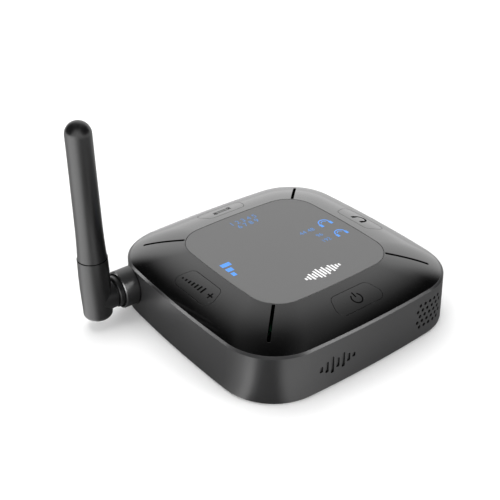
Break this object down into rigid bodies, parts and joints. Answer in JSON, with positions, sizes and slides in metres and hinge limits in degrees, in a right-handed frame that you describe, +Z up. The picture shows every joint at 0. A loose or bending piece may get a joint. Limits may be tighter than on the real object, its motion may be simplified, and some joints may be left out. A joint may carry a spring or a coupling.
{
  "type": "bluetooth audio receiver",
  "caption": "Rounded square desk-top wireless audio receiver with a domed gloss top, flat display window, press buttons, rear audio ports and a swivelling side antenna.",
  "frame": {"origin": "centre of the case's footprint, on the surface the rubber foot rests on", "axes": "+X to the product's right, away from the antenna; +Y to the back, where the ports are; +Z up"},
  "size_m": [0.1269, 0.1062, 0.0874],
  "materials": {
    "case_plastic": "fine satin texture, black",
    "gloss_black": "polished black",
    "window_black": "smoked display window",
    "diffuser_white": "milky",
    "shield_black": "matt black",
    "led_body": "clear resin",
    "foot_rubber": "soft matt rubber",
    "board_resin": "solder mask",
    "chip_resin": "moulded resin",
    "can_steel": "tinned steel",
    "capacitor_can": "bright can",
    "connector_black": "moulded black",
    "flap_grey": "dark grey moulding",
    "plunger_resin": "natural resin",
    "lens_clear": "clear lens",
    "antenna_plastic": "satin black",
    "element_brass": "bare brass",
    "plug_gold": "gold flash on brass",
    "washer_nylon": "natural nylon",
    "screw_steel": "black zinc",
    "cable_jacket": "black jacket"
  },
  "bodies": {
    "root": {"lower_case": "case_plastic", "top_shell": "gloss_black", "display_window": "window_black", "display_diffuser": "diffuser_white", "light_shield": "shield_black", "display_leds": "led_body", "foot_ring": "foot_rubber", "main_board": "board_resin", "control_board": "board_resin", "link_socket": "connector_black", "link_header": "connector_black", "bluetooth_module": "board_resin", "module_shield": "can_steel", "audio_processor": "chip_resin", "converter_chip": "chip_resin", "power_regulator": "chip_resin", "power_inductor": "chip_resin", "crystal": "can_steel", "capacitors": "capacitor_can", "display_driver": "chip_resin", "optical_lenses": "lens_clear", "usb_shell": "can_steel", "usb_tongue": "connector_black", "slide_switch_body": "connector_black", "friction_washer": "washer_nylon", "coax_socket": "plug_gold", "coax_plug": "plug_gold", "coax_lead": "cable_jacket", "case_screws": "screw_steel", "control_board_screws": "screw_steel", "main_board_screws": "screw_steel", "pairing_switch": "connector_black", "input_switch": "connector_black", "volume_switch": "connector_black", "power_switch": "connector_black", "optical_input_socket": "connector_black", "optical_output_socket": "connector_black", "line_in_jack": "connector_black", "line_out_jack": "connector_black"},
    "antenna": {"antenna_base": "antenna_plastic", "antenna_blade": "antenna_plastic", "antenna_element": "element_brass", "element_spacers": "washer_nylon", "spring_washer": "screw_steel", "hinge_nut": "element_brass", "feed_lead": "cable_jacket"},
    "pairing_key": {"pairing_button": "gloss_black", "pairing_plunger": "plunger_resin"},
    "input_key": {"input_button": "gloss_black", "input_plunger": "plunger_resin"},
    "volume_key": {"volume_button": "gloss_black", "volume_plunger": "plunger_resin"},
    "power_key": {"power_button": "gloss_black", "power_plunger": "plunger_resin"},
    "slide_knob": {"slide_switch_knob": "connector_black"},
    "input_flap": {"optical_input_flap": "flap_grey"},
    "output_flap": {"optical_output_flap": "flap_grey"}
  },
  "joints": [
    {"name": "antenna_swivel", "type": "hinge", "parent": "root", "child": "antenna", "pos_m": [-0.05783, 0.033, 0.01223], "axis": [1, 0, 0], "range_deg": [-90, 90]},
    {"name": "pairing_press", "type": "slide", "parent": "root", "child": "pairing_key", "axis": [0, 0, -1], "range_m": [0, 0.0004], "stiffness_N_per_m": 400, "springref_m": -0.0004},
    {"name": "input_press", "type": "slide", "parent": "root", "child": "input_key", "axis": [0, 0, -1], "range_m": [0, 0.0004], "stiffness_N_per_m": 400, "springref_m": -0.0004},
    {"name": "volume_press", "type": "slide", "parent": "root", "child": "volume_key", "axis": [0, 0, -1], "range_m": [0, 0.0004], "stiffness_N_per_m": 400, "springref_m": -0.0004},
    {"name": "power_press", "type": "slide", "parent": "root", "child": "power_key", "axis": [0, 0, -1], "range_m": [0, 0.0004], "stiffness_N_per_m": 400, "springref_m": -0.0004},
    {"name": "slide_shift", "type": "slide", "parent": "root", "child": "slide_knob", "axis": [1, 0, 0], "range_m": [0, 0.002]},
    {"name": "input_flap_swing", "type": "hinge", "parent": "root", "child": "input_flap", "pos_m": [-0.0296, 0.04905, 0.01543], "axis": [-1, 0, 0], "range_deg": [0, 85], "stiffness_Nm_per_rad": 0.00002, "springref_deg": -22.92},
    {"name": "output_flap_swing", "type": "hinge", "parent": "root", "child": "output_flap", "pos_m": [-0.0176, 0.04905, 0.01543], "axis": [-1, 0, 0], "range_deg": [0, 85], "stiffness_Nm_per_rad": 0.00002, "springref_deg": -22.92}
  ]
}
